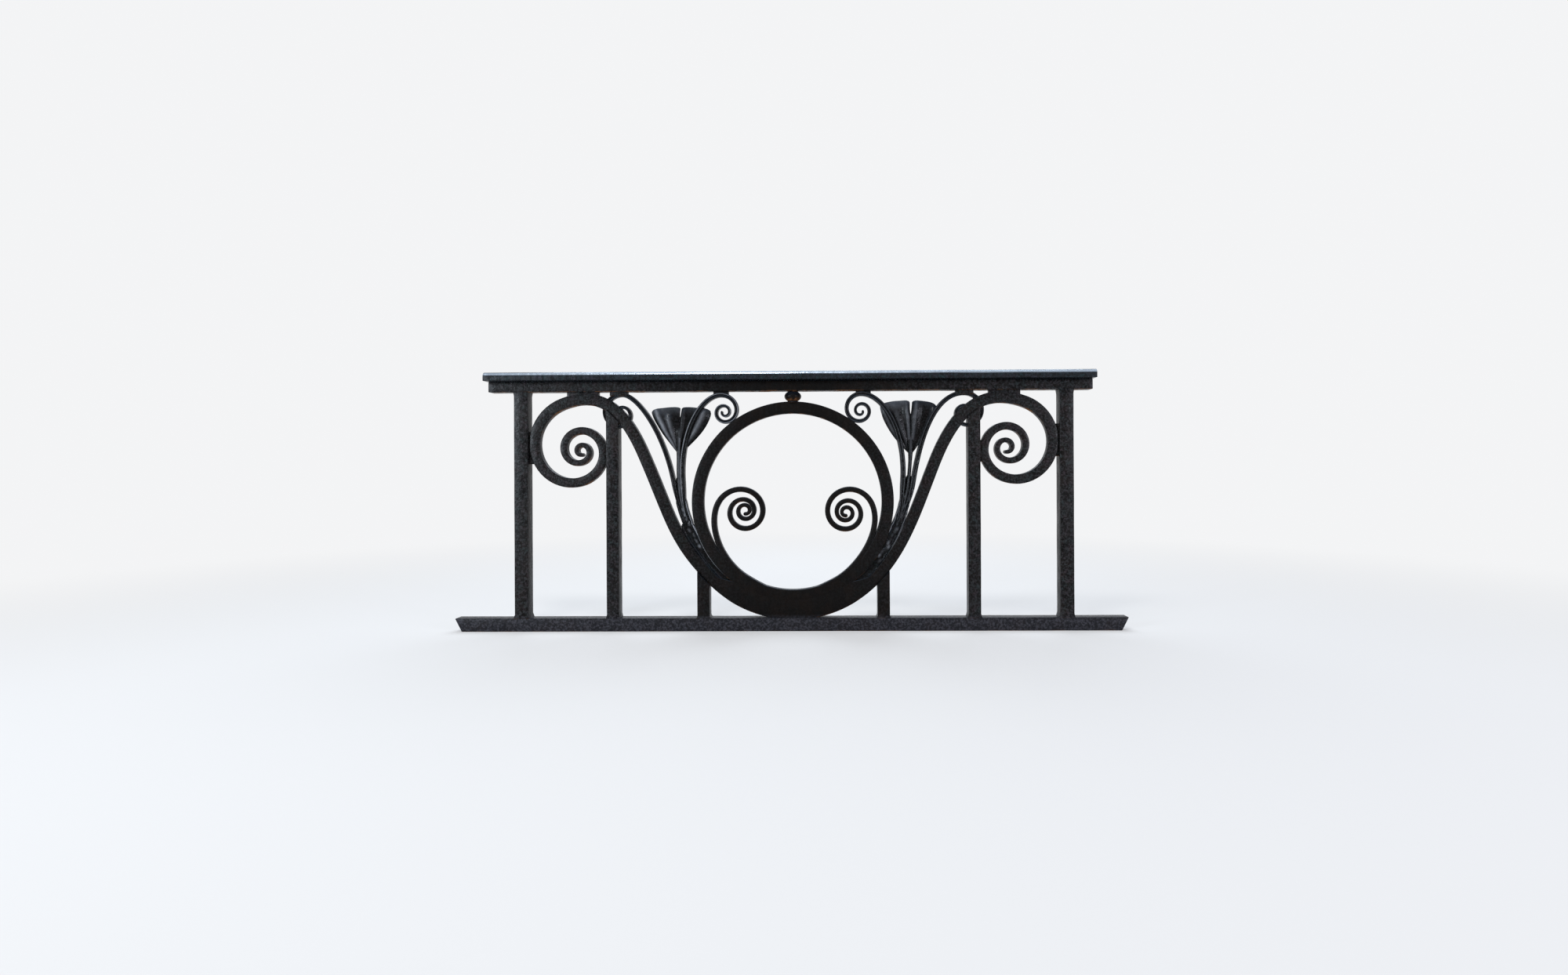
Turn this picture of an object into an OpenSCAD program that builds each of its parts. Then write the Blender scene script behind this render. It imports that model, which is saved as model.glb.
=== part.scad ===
// Iron balcony railing for a French window: a scrolled panel of cast iron between a bottom
// rail and a flat top bar, with a broad handrail over it. The rails end at the wall.
// X runs along the rail from its left wall end, Y runs from the seen face to the back,
// Z is up. The origin is on the left end face of the handrail, at the middle of that face.
// Inside the modules a height is taken from the top of the bottom rail, and a distance u
// is taken from the middle of the ring outwards, to the left (side -1) or the right (side 1).

/* [Rails] */
// Clear height between the bottom rail and the top bar, which also sets the ring's size
clear_height = 332.5; // [290:0.5:380]
// How far the handrail and the top bar run on past the left end post
left_overrun = 37.5; // [10:0.5:120]
// How far the handrail and the top bar run on past the right end post
right_overrun = 28; // [10:0.5:120]
// How much further than the handrail the bottom rail reaches at each end
bottom_rail_reach = 51; // [0:1:80]
// How much shorter the bottom rail's underside is at each end, for each mm of its height
end_splay = 0.5; // [0:0.05:0.8]
// Width of the handrail from front to back
handrail_width = 58; // [30:1:90]
// Thickness of the handrail
handrail_thickness = 12.5; // [8:0.5:25]
// Radius of the handrail's upper edges
handrail_round = 4; // [1:0.5:7]
// Height of the flat top bar under the handrail
top_bar_height = 15; // [8:0.5:30]
// Height of the bottom rail
bottom_rail_height = 19.5; // [10:0.5:35]
// Depth of the rails and posts from front to back
bar_depth = 20; // [13:1:35]

/* [Posts] */
// Width of the end posts
end_post_width = 20; // [12:0.5:30]
// Width of the middle posts
middle_post_width = 18; // [10:0.5:26]
// Width of the short posts under the ring
short_post_width = 18; // [10:0.5:26]
// Clear width between the ring and each middle post
middle_post_gap = 109; // [100:0.5:125]
// How far inside the ring's outer edge the middle of a short post stands
short_post_inset = 15; // [5:0.5:40]

/* [Ring] */
// Width of the ring's band
ring_band = 17.5; // [12:0.5:24]
// Width of the cradle's band below the ring
cradle_band = 26.5; // [20:0.5:34]
// How far the round of the cradle is flattened where it stands on the bottom rail
cradle_seat = 3.5; // [1:0.5:6]
// Gap between the ring and the top bar, which the ball fills
boss_gap = 15.5; // [10:0.5:24]
// Radius of the ball
boss_radius = 12.5; // [9.5:0.5:16]
// Radius of the ball's two necks
boss_neck = 8.5; // [5:0.5:9]
// Depth of the ring, scrolls and tendrils from front to back
scroll_depth = 12.5; // [9:0.5:20]

/* [Big scrolls] */
// Width of the scroll's band between the cradle and its volute
scroll_band = 16.8; // [12:0.2:20]
// Width of the volute's band at its eye
scroll_eye_band = 5.6; // [3:0.2:8]
// Radius of the volute at its top, which also sets the distance between the middle and end
// posts that hold it
volute_radius = 70; // [62:0.5:78]
// Gap between the top of the volute and the top bar, which a lug fills
volute_gap = 5; // [3:0.5:9]
// Quarter turns of the volute from its top to its end
volute_turns = 10; // [6:0.5:10.5]
// Length of the cast lug between the volute and the end post
end_post_lug = 48; // [20:1:60]
// Length of the cast lug between the volute and the middle post
middle_post_lug = 32; // [16:1:44]
// Length of the cast lug between the volute and the top bar
scroll_top_lug = 46; // [20:1:60]

/* [Ring volutes] */
// Width of the band of the small volutes inside the ring
ring_volute_band = 8; // [5:0.2:10]
// Distance of their eyes from the ring's inner edge, level with its middle
ring_volute_in = 56; // [50:0.5:62]
// Distance of their eyes below the ring's middle
ring_volute_drop = 14; // [6:0.5:20]
// Radius of the small volutes
ring_volute_radius = 39.4; // [35:0.2:43]
// Quarter turns of the small volutes
ring_volute_turns = 11; // [6:0.5:11.5]

/* [Tendrils] */
// Width of the tendrils' stems
stem_band = 7.4; // [5:0.2:10]
// Width of a tendril's curl at its eye
curl_eye_band = 3.6; // [2:0.2:5]
// Distance of the inner curl's eye from the ring's outer edge
inner_curl_out = 18; // [15:0.2:21]
// Distance of the outer curl's eye from the outer face of the middle post
outer_curl_in = 19; // [16:0.5:23]
// Distance of both eyes below the top bar
curl_drop = 31; // [29:0.1:34]
// Radius of the inner tendril's curl at its top
inner_curl_radius = 23; // [20:0.2:25]
// Radius of the outer tendril's curl at its top
outer_curl_radius = 27; // [24:0.2:30]
// Quarter turns of each curl
curl_turns = 7; // [4:0.5:8]
// Length of the lug between the inner tendril and the top bar
inner_tendril_lug = 22; // [12:1:30]
// Length of the lug between the outer tendril and the top bar
outer_tendril_lug = 26; // [12:1:34]

/* [Flowers] */
// Distance of the flower's root from the ring
flower_out = 23.5; // [20:0.5:27]
// Distance of the flower's rim below the top bar
flower_drop = 17.5; // [12:0.5:24]
// Height of the flower from its root to its rim
flower_height = 74; // [64:1:84]
// Distance of the inner lobe's edge from the flower's root
inner_spread = 46.5; // [40:0.5:50]
// Distance of the outer lobe's edge from the flower's root
outer_spread = 38.8; // [34:0.5:42]
// Thickness of the petals
petal_depth = 8; // [3:0.5:11]
// Width of the stalk bundle between the ring and the big scroll
stalk_wide = 16; // [12:0.5:20]

/* [Hidden] */
iron = "#1c1c1f";

// The ring fills the height between its cradle and the ball
ring_radius = (clear_height + cradle_seat - cradle_band - boss_gap) / 2;
ring_inner = ring_radius - ring_band;
cradle_radius = ring_radius + cradle_band;
ring_height = cradle_radius - cradle_seat;
ring_centre = [0, ring_height];

// The volute's reach from its eye towards the middle post and the end post, as shares of its
// radius, the share of the band's width on the middle post's side, and the clearance that
// the lug on the end post fills
volute_in_share = 0.44;
volute_band_share = 0.37;
volute_reach_share = 0.99;
end_lug_clearance = 0.8;
volute_out = volute_in_share * volute_radius + volute_band_share * scroll_band;
volute_reach = volute_reach_share * volute_radius + scroll_band / 2 + end_lug_clearance;

// Faces of the posts, from the middle of the ring outwards
middle_post_in = ring_radius + middle_post_gap;
middle_post_out = middle_post_in + middle_post_width;
end_post_in = middle_post_out + volute_out + volute_reach;
end_post_out = end_post_in + end_post_width;
short_post_at = ring_radius - short_post_inset;

left_end = -end_post_out - left_overrun;
right_end = end_post_out + right_overrun;
origin_height = clear_height + top_bar_height + handrail_thickness / 2;

// A cutting shape is deeper than the handrail and higher than the panel
cut_depth = 2 * (handrail_width + bar_depth);
cut_reach = clear_height;

// How much of the gap is neck above and below the ball, and how far the lower neck is
// drawn into the ring's band before the ring is cut out of it
boss_flat_share = 0.08;
boss_sink_share = 0.25;

// One quarter turn of a curve, and the steps in which curves are drawn
quarter = 90;
steps_a_quarter = 15;
steps_a_bend = 16;
steps_a_rim = 6;

// The quarter turns at which the first turn of a spiral starts and ends
turn_from = -0.4;
turn_to = 3.4;

// The patterns of the two sides were cut by hand and differ a little. Each list below
// holds the left side's value and then the right side's.
function hand(pair, side) = pair[side < 0 ? 0 : 1];

// The spirals: the eye's shift outwards and upwards, what is added to the radius, how fast
// the spiral closes for a quarter turn and how fast that grows, and how far it leans
// outwards and upwards, as shares of its radius
volute_shift = [[-0.4, 0], [0.4, -0.4]];
volute_more = [1.6, -1.4];
volute_close = [[0.19, 0.0081], [0.17, 0.0072]];
volute_lean = [[0.185, 0.04], [0.203, 0.04]];
ring_volute_shift = [[-3.6, 2], [3.5, -2.5]];
ring_volute_more = [0.5, -0.6];
ring_volute_close = [[0.154, 0.0027], [0.14, 0.0047]];
ring_volute_lean = [[0.14, -0.113], [0.084, 0.011]];
inner_curl_more = [0.5, -0.4];
inner_curl_close = [[0.224, 0.0027], [0.119, 0.0219]];
inner_curl_lean = [[0.104, 0.083], [-0.033, 0.176]];
outer_curl_close = [0.02, 0.07];
outer_curl_lean = [-0.1, 0];

// The S bend of the big scroll: where it leaves the ring, its waist between the ring and
// the volute, the slope there, and how far each end of its two bends keeps its direction,
// as a share of the bend's length
cradle_leaves = -56;
cradle_end = -45;
waist_out = [65.8, 59.2];
waist_drop = 109.7;
waist_slope = [67.2, 68.7];
lower_bend_pull = [[0.418, 0.439], [0.328, 0.38]];
upper_bend_pull = [[0.335, 0.527], [0.392, 0.491]];
volute_start = 0.15;

// Where the small volutes leave the ring's inner edge, as an angle
ring_volute_root = [-59, -63];
ring_volute_start = 0.15;
ring_volute_pull = [[0.38, 0.31], [0.295, 0.347]];

// The flower's root, and the stems beside it: their feet, slopes and bends, where their
// curls start, and how they narrow upwards and down in the bundle
flower_shift = [-2.5, 2.5];
flower_rise = [-4, 4];
flower_more = [-5, 5];
stem_foot = 45;
inner_foot = [-5.4, -12];
inner_slope = [85.9, 85.2];
inner_pull = [[0.528, 0.21], [0.506, 0.234]];
inner_start = -0.1;
outer_foot = [7.6, 2.7];
outer_slope = [79.8, 81.1];
outer_pull = [[0.484, 0.159], [0.501, 0.271]];
outer_start = 0;
stem_taper = 0.9;
stem_root = 16;
stem_root_share = 0.35;

// The stem under the flower and the stalk bundle: the waist of the bundle beside the ring,
// its slope there, the angle at which it ends below, and the bends above and below the waist
stem_over_root = 14;
stem_share = 0.7;
stalk_out = 15.7;
stalk_drop = 5;
stalk_slope = -103;
stalk_tip = -51;
stem_pull = [0.46, 0.33];
stalk_pull = [0.3, 0.3];

// The slit between the lobes: its width at the rim, its depth and its place
slit_wide = 5;
slit_depth = [17, 32];
slit_shift = [-3, -0.5];
// A lobe's edge: its direction at the root and at the shoulder, for the inner and the
// outer lobe, and where the shoulder and the crown of its rim lie, as shares of its size
lobe_edge = [[43, 82], [52, 66]];
shoulder_share = 0.86;
crown_share = [0.5, 0.98];
rim_slope = 172;
edge_pull = [0.35, 0.3];
rim_pull = [0.4, 0.4];

// The lugs' middles, along the bar or post from the eye of their curve
end_lug_up = [6, 11.5];
middle_lug_up = -4.2;
top_lug_out = -1;
inner_lug_out = [6, 4];
outer_lug_out = [1.5, -3];

// Points of curves

function aim(a) = [cos(a), sin(a)];

function bend_point(a, b, c, d, t) =
    pow(1 - t, 3) * a + 3 * pow(1 - t, 2) * t * b + 3 * (1 - t) * t * t * c + pow(t, 3) * d;

// A bend of n steps from point a in direction a_dir to point d in direction d_dir, as a
// list of [u, height, width of the band]
function bend(a, a_dir, d, d_dir, pull, band0, band1, n) =
    let (reach = norm(d - a), b = a + pull[0] * reach * aim(a_dir),
         c = d - pull[1] * reach * aim(d_dir))
    [for (i = [0 : n]) let (t = i / n, p = bend_point(a, b, c, d, t))
        [p.x, p.y, band0 + (band1 - band0) * t]];

// A leaning spiral: its eye, radius, closing, lean, the angle at which it starts, and
// its way round, 1 anticlockwise or -1 clockwise
function curve(eye, radius, close, lean, start, way) = [eye, radius, close, lean, start, way];

// The point of a spiral after n quarter turns
function curve_point(c, n) =
    c[0] + c[1] * exp(-c[2][0] * n - c[2][1] * n * n) * (aim(c[4] + c[5] * quarter * n) + c[3]);

function curve_slope(c, n) =
    let (step = 0.01, d = curve_point(c, n + step) - curve_point(c, n - step))
    atan2(d.y, d.x);

// A band that narrows from band0 to band1 by the same share in each step
function curve_path(c, n0, n1, band0, band1) =
    let (count = round((n1 - n0) * steps_a_quarter))
    [for (i = [0 : count]) let (p = curve_point(c, n0 + (n1 - n0) * i / count))
        [p.x, p.y, band0 * pow(band1 / band0, i / count)]];

function tail(list) = [for (i = [1 : len(list) - 1]) list[i]];

// The direction of a path at one of its points
function path_dir(path, i) =
    let (a = path[max(i - 1, 0)], b = path[min(i + 1, len(path) - 1)],
         d = [b.x - a.x, b.y - a.y])
    d / norm(d);

function path_side(path, i, reach) =
    let (d = path_dir(path, i)) [path[i].x - d.y * reach, path[i].y + d.x * reach];

// The outline of a band along a path, with a round far end
function band_outline(path) =
    let (last = len(path) - 1, end = path[last], d = path_dir(path, last),
         a = atan2(d.y, d.x), arc = quarter / 4)
    concat(
        [for (i = [0 : last]) path_side(path, i, -path[i][2] / 2)],
        [for (k = [1 : 7]) [end.x, end.y] + end[2] / 2 * aim(a - quarter + k * arc)],
        [for (i = [last : -1 : 0]) path_side(path, i, path[i][2] / 2)]);

// A stem from its root in the bundle to the start of its curl, and then the curl
function stem_and_curl(foot, slope, pull, c, start, turns, band0, band1) =
    let (root = foot - stem_root * aim(slope))
    concat(
        [[root.x, root.y, band0 * stem_root_share]],
        bend(foot, slope, curve_point(c, start), curve_slope(c, start), pull,
             band0, band0 * stem_taper, steps_a_bend),
        tail(curve_path(c, start, turns, band0 * stem_taper, band1)));

// The curves, each for one side

// The volute hangs a lug's height below the top bar
function volute(side) =
    let (r = volute_radius + hand(volute_more, side), lean = hand(volute_lean, side))
    curve([middle_post_out + volute_out,
           clear_height - volute_gap - scroll_band / 2 - r * (1 + lean.y)]
              + hand(volute_shift, side),
          r, hand(volute_close, side), lean, quarter, -1);

function ring_volute_curve(side) = curve(
    [ring_inner - ring_volute_in, ring_height - ring_volute_drop]
        + hand(ring_volute_shift, side),
    ring_volute_radius + hand(ring_volute_more, side), hand(ring_volute_close, side),
    hand(ring_volute_lean, side), 0, 1);

// The inner curl stands on the ring and hangs from the top bar
function inner_curl(side) =
    let (z = clear_height - curl_drop,
         u = sqrt(pow(ring_radius + inner_curl_out, 2) - pow(z - ring_height, 2)))
    curve([u, z], inner_curl_radius + hand(inner_curl_more, side),
          hand(inner_curl_close, side), hand(inner_curl_lean, side), quarter, 1);

function outer_curl() = curve(
    [middle_post_out - outer_curl_in, clear_height - curl_drop],
    outer_curl_radius, outer_curl_close, outer_curl_lean, quarter, -1);

// The middle of each band, from its foot to its eye

function cradle_path() = [for (i = [0 : steps_a_bend]) let (
    a = -quarter + (cradle_end + quarter) * i / steps_a_bend,
    w = cradle_band + (scroll_band - cradle_band)
      * max(0, (a - cradle_leaves) / (cradle_end - cradle_leaves)),
    p = ring_centre + (cradle_radius - w / 2) * aim(a))
    [p.x, p.y, w]];

function s_bend_path(side) = let (
    foot = ring_centre + (cradle_radius - scroll_band / 2) * aim(cradle_end),
    waist = [ring_radius + hand(waist_out, side), clear_height - waist_drop],
    slope = hand(waist_slope, side),
    c = volute(side))
    concat(
        bend(foot, cradle_end + quarter, waist, slope, hand(lower_bend_pull, side),
             scroll_band, scroll_band, steps_a_bend),
        tail(bend(waist, slope, curve_point(c, volute_start), curve_slope(c, volute_start),
                  hand(upper_bend_pull, side), scroll_band, scroll_band, steps_a_bend)));

function scroll_foot_path(side) = concat(cradle_path(), tail(s_bend_path(side)));

function big_scroll_path(side) = concat(
    scroll_foot_path(side),
    tail(curve_path(volute(side), volute_start, volute_turns, scroll_band,
                    scroll_eye_band)));

function ring_volute_path(side) = let (
    c = ring_volute_curve(side),
    root = hand(ring_volute_root, side),
    foot = ring_centre + (ring_inner + ring_volute_band / 4) * aim(root))
    concat(
        bend(foot, root + quarter, curve_point(c, ring_volute_start),
             curve_slope(c, ring_volute_start), hand(ring_volute_pull, side),
             ring_volute_band, ring_volute_band, steps_a_bend),
        tail(curve_path(c, ring_volute_start, ring_volute_turns, ring_volute_band,
                        curl_eye_band)));

function flower_tall(side) = flower_height + hand(flower_more, side);

function flower_root(side) =
    [ring_radius + flower_out + hand(flower_shift, side),
     clear_height - flower_drop + hand(flower_rise, side) - flower_tall(side)];

function inner_tendril_path(side) = stem_and_curl(
    flower_root(side) + [hand(inner_foot, side), -stem_foot],
    hand(inner_slope, side), hand(inner_pull, side), inner_curl(side),
    inner_start, curl_turns, stem_band, curl_eye_band);

function outer_tendril_path(side) = stem_and_curl(
    flower_root(side) + [hand(outer_foot, side), -stem_foot],
    hand(outer_slope, side), hand(outer_pull, side), outer_curl(),
    outer_start, curl_turns, stem_band, curl_eye_band);

// The flower's stem runs down into the stalk bundle, and that into the wedge between the
// big scroll and the ring
function stalk_path(side) = let (
    top = flower_root(side) + [0, stem_over_root],
    beside = [ring_radius + stalk_out, ring_height - stalk_drop],
    tip = ring_centre + (ring_radius + ring_band / 4) * aim(stalk_tip),
    tip_dir = stalk_tip - quarter)
    concat(
        bend(top, -quarter, beside, stalk_slope, stem_pull, stem_band * stem_share,
             stalk_wide, steps_a_bend),
        tail(bend(beside, stalk_slope, tip, tip_dir, stalk_pull, stalk_wide, stalk_wide,
                  steps_a_bend)));

// The edge of one lobe from the flower's root to the slit; way is 1 outwards, -1 inwards
function lobe(side, way) = let (
    tall = flower_tall(side),
    wide = way > 0 ? outer_spread : inner_spread,
    base = flower_root(side),
    shoulder = [wide, shoulder_share * tall],
    crown = [crown_share[0] * wide, crown_share[1] * tall],
    lip = [way * hand(slit_shift, side), tall],
    edge = hand(lobe_edge, way))
    [for (p = concat(
        bend([stem_band / 3, 0], edge[0], shoulder, edge[1], edge_pull, 1, 1, steps_a_rim),
        tail(bend(shoulder, quarter, crown, rim_slope, rim_pull, 1, 1, steps_a_rim)),
        tail(bend(crown, rim_slope, lip, 2 * quarter, rim_pull, 1, 1, steps_a_rim))))
        base + [way * p.x, p.y]];

// Shaping

module plate(depth) {
    rotate([quarter, 0, 0])
        linear_extrude(depth, center = true)
            children();
}

module disc(radius, depth) {
    rotate([quarter, 0, 0])
        cylinder(h = depth, r = radius, center = true, $fn = 180);
}

// Moves a shape from the ring's foot on the bottom rail to the part's own frame
module set_in_frame() {
    color(iron)
        translate([-left_end, 0, -origin_height])
            children();
}

module on_side(side) {
    set_in_frame()
        if (side < 0)
            mirror([1, 0, 0]) children();
        else
            children();
}

module at_ring() {
    translate([ring_centre.x, 0, ring_centre.y])
        children();
}

module box_between(u0, u1, z0, z1, depth) {
    translate([u0, -depth / 2, z0])
        cube([u1 - u0, depth, z1 - z0]);
}

// A rail from one wall to the other, its underside shorter by short at each end
module rail(reach, height, base, short) {
    left = left_end - reach;
    right = right_end + reach;
    translate([0, 0, base])
        plate(bar_depth)
            polygon([[left + short, 0], [right - short, 0], [right, height], [left, height]]);
}

module band(path, depth) {
    plate(depth)
        polygon(band_outline(path));
}

// Everything on the upper side of the big scroll's lower edge, from the cradle to its top
module above_scroll(side) {
    path = scroll_foot_path(side);
    last = len(path) - 1;
    plate(cut_depth)
        polygon(concat(
            [for (i = [0 : last]) path_side(path, i, -path[i][2] / 2)],
            [for (i = [last : -1 : 0]) path_side(path, i, cut_reach)]));
}

// The room inside the first turn of a spiral, bounded by the middle of its band
module inside_turn(c) {
    plate(cut_depth)
        polygon([for (p = curve_path(c, turn_from, turn_to, 1, 1)) [p.x, p.y]]);
}

module above_top_bar() {
    box_between(-end_post_in, end_post_in, clear_height, clear_height + cut_reach, cut_depth);
}

module end_post_shape() {
    box_between(end_post_in, end_post_out, 0, clear_height, bar_depth);
}

module middle_post_shape(side) {
    difference() {
        box_between(middle_post_in, middle_post_out, 0, clear_height, bar_depth);
        above_scroll(side);
    }
}

module flower_shape(side) {
    root = flower_root(side);
    rim = root.y + flower_tall(side);
    foot = [root.x + hand(slit_shift, side), rim - hand(slit_depth, side)];
    inner = lobe(side, -1);
    plate(petal_depth)
        difference() {
            polygon(concat(lobe(side, 1), [for (i = [len(inner) - 1 : -1 : 0]) inner[i]]));
            polygon([foot, foot + [slit_wide, 2 * (rim - foot.y)],
                     foot + [-slit_wide, 2 * (rim - foot.y)]]);
        }
}

// Rails

module handrail() {
    w = handrail_width / 2;
    r = handrail_round;
    arc = quarter / steps_a_rim;
    set_in_frame()
        translate([left_end, 0, clear_height + top_bar_height])
            rotate([quarter, 0, quarter])
                linear_extrude(right_end - left_end)
                    polygon(concat(
                        [[-w, 0], [w, 0]],
                        [for (k = [0 : steps_a_rim])
                            [w - r, handrail_thickness - r] + r * aim(k * arc)],
                        [for (k = [0 : steps_a_rim])
                            [r - w, handrail_thickness - r] + r * aim(quarter + k * arc)]));
}

module top_bar() {
    set_in_frame()
        rail(0, top_bar_height, clear_height, 0);
}

module bottom_rail() {
    set_in_frame()
        rail(bottom_rail_reach, bottom_rail_height, -bottom_rail_height,
             end_splay * bottom_rail_height);
}

// Posts

module end_post(side) {
    on_side(side)
        end_post_shape();
}

module middle_post(side) {
    on_side(side)
        middle_post_shape(side);
}

module short_post(side) {
    on_side(side)
        difference() {
            box_between(short_post_at - short_post_width / 2,
                        short_post_at + short_post_width / 2, 0, ring_height, bar_depth);
            above_scroll(side);
        }
}

// Ring

module centre_ring() {
    set_in_frame()
        at_ring()
            difference() {
                disc(ring_radius, scroll_depth);
                disc(ring_inner, cut_depth);
            }
}

// The ball is flattened where its necks join the ring and the top bar, and the lower neck
// runs down to the round of the ring
module ring_boss() {
    flat = boss_gap * boss_flat_share;
    sink = ring_band * boss_sink_share;
    set_in_frame()
        difference() {
            translate([0, 0, ring_height + ring_radius])
                rotate_extrude($fn = 96)
                    union() {
                        translate([0, -sink])
                            square([boss_neck, boss_gap + sink]);
                        intersection() {
                            translate([0, boss_gap / 2])
                                circle(boss_radius, $fn = 96);
                            translate([0, flat])
                                square([boss_radius, boss_gap - 2 * flat]);
                        }
                    }
            at_ring()
                disc(ring_radius, cut_depth);
        }
}

// Scrolls

// The two big scrolls meet under the ring and stand on the bottom rail
module big_scroll(side) {
    on_side(side)
        difference() {
            band(big_scroll_path(side), scroll_depth);
            at_ring()
                disc(ring_radius, cut_depth);
            box_between(-cut_reach, cut_reach, -cut_reach, 0, cut_depth);
            above_top_bar();
            end_post_shape();
            middle_post_shape(side);
        }
}

module ring_volute(side) {
    on_side(side)
        intersection() {
            band(ring_volute_path(side), scroll_depth);
            at_ring()
                disc(ring_inner, cut_depth);
        }
}

// Flowers and tendrils

module flower(side) {
    on_side(side)
        flower_shape(side);
}

module flower_stalk(side) {
    on_side(side)
        difference() {
            band(stalk_path(side), scroll_depth);
            band(big_scroll_path(side), cut_depth);
            at_ring()
                disc(ring_radius, cut_depth);
            flower_shape(side);
        }
}

module inner_tendril(side) {
    on_side(side)
        difference() {
            band(inner_tendril_path(side), scroll_depth);
            band(stalk_path(side), cut_depth);
            flower_shape(side);
            at_ring()
                disc(ring_radius, cut_depth);
            above_top_bar();
        }
}

// The outer tendril's curl is cast into the big scroll and the middle post
module outer_tendril(side) {
    on_side(side)
        difference() {
            band(outer_tendril_path(side), scroll_depth);
            band(stalk_path(side), cut_depth);
            flower_shape(side);
            band(big_scroll_path(side), cut_depth);
            middle_post_shape(side);
            above_top_bar();
        }
}

// Lugs where a curve is cast on to a bar

module end_post_lug(side) {
    c = volute(side);
    z = c[0].y + hand(end_lug_up, side);
    on_side(side)
        difference() {
            box_between(end_post_in - end_lug_clearance - scroll_band / 2, end_post_in,
                        z - end_post_lug / 2, z + end_post_lug / 2, scroll_depth);
            band(big_scroll_path(side), cut_depth);
        }
}

module middle_post_lug(side) {
    c = volute(side);
    z = c[0].y + middle_lug_up;
    on_side(side)
        difference() {
            box_between(middle_post_out, middle_post_out + volute_band_share * scroll_band,
                        z - middle_post_lug / 2, z + middle_post_lug / 2, scroll_depth);
            band(big_scroll_path(side), cut_depth);
        }
}

module scroll_top_lug(side) {
    c = volute(side);
    u = c[0].x + top_lug_out;
    on_side(side)
        difference() {
            box_between(u - scroll_top_lug / 2, u + scroll_top_lug / 2,
                        clear_height - volute_gap - scroll_band / 2, clear_height,
                        scroll_depth);
            band(big_scroll_path(side), cut_depth);
        }
}

module tendril_lug(side, c, path, at, length) {
    u = c[0].x + hand(at, side);
    on_side(side)
        difference() {
            box_between(u - length / 2, u + length / 2, clear_height - stem_band,
                        clear_height, scroll_depth);
            band(path, cut_depth);
            inside_turn(c);
            band(big_scroll_path(side), cut_depth);
        }
}

module inner_tendril_lug(side) {
    tendril_lug(side, inner_curl(side), inner_tendril_path(side), inner_lug_out,
                inner_tendril_lug);
}

module outer_tendril_lug(side) {
    tendril_lug(side, outer_curl(), outer_tendril_path(side), outer_lug_out,
                outer_tendril_lug);
}

handrail();
top_bar();
bottom_rail();
end_post(-1);  // left_end_post
end_post(1);  // right_end_post
middle_post(-1);  // left_middle_post
middle_post(1);  // right_middle_post
short_post(-1);  // left_short_post
short_post(1);  // right_short_post
centre_ring();
ring_boss();
big_scroll(-1);  // left_big_scroll
big_scroll(1);  // right_big_scroll
ring_volute(-1);  // left_ring_volute
ring_volute(1);  // right_ring_volute
flower(-1);  // left_flower
flower(1);  // right_flower
flower_stalk(-1);  // left_flower_stalk
flower_stalk(1);  // right_flower_stalk
inner_tendril(-1);  // left_inner_tendril
inner_tendril(1);  // right_inner_tendril
outer_tendril(-1);  // left_outer_tendril
outer_tendril(1);  // right_outer_tendril
end_post_lug(-1);  // left_end_post_lug
end_post_lug(1);  // right_end_post_lug
middle_post_lug(-1);  // left_middle_post_lug
middle_post_lug(1);  // right_middle_post_lug
scroll_top_lug(-1);  // left_scroll_top_lug
scroll_top_lug(1);  // right_scroll_top_lug
inner_tendril_lug(-1);  // left_inner_tendril_lug
inner_tendril_lug(1);  // right_inner_tendril_lug
outer_tendril_lug(-1);  // left_outer_tendril_lug
outer_tendril_lug(1);  // right_outer_tendril_lug
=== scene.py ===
import math
import random

import bpy
from mathutils import Euler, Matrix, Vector, noise


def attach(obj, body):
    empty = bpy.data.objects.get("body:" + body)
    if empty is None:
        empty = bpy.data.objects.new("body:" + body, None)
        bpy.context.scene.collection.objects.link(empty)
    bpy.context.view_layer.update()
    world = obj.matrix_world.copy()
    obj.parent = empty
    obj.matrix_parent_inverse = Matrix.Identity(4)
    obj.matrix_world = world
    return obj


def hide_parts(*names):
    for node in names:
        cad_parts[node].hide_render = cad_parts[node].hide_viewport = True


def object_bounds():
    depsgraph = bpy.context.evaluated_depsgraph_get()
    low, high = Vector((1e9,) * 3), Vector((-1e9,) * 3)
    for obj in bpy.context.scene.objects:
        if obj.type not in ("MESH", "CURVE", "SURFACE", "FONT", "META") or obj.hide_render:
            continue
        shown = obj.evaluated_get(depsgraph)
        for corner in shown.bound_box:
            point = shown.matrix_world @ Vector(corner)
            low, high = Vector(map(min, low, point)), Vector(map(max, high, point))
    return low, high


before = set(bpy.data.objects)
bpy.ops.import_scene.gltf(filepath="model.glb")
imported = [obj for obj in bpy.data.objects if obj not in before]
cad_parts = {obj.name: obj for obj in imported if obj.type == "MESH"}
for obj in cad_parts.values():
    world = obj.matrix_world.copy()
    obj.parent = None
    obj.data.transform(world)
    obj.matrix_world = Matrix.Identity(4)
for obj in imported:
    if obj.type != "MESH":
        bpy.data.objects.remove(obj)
cad_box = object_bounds()
noise.seed_set(4)        # the waves that the mould leaves come out alike each time

QUARTER = math.pi / 2
SIDES = (("left", -1), ("right", 1))

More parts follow.
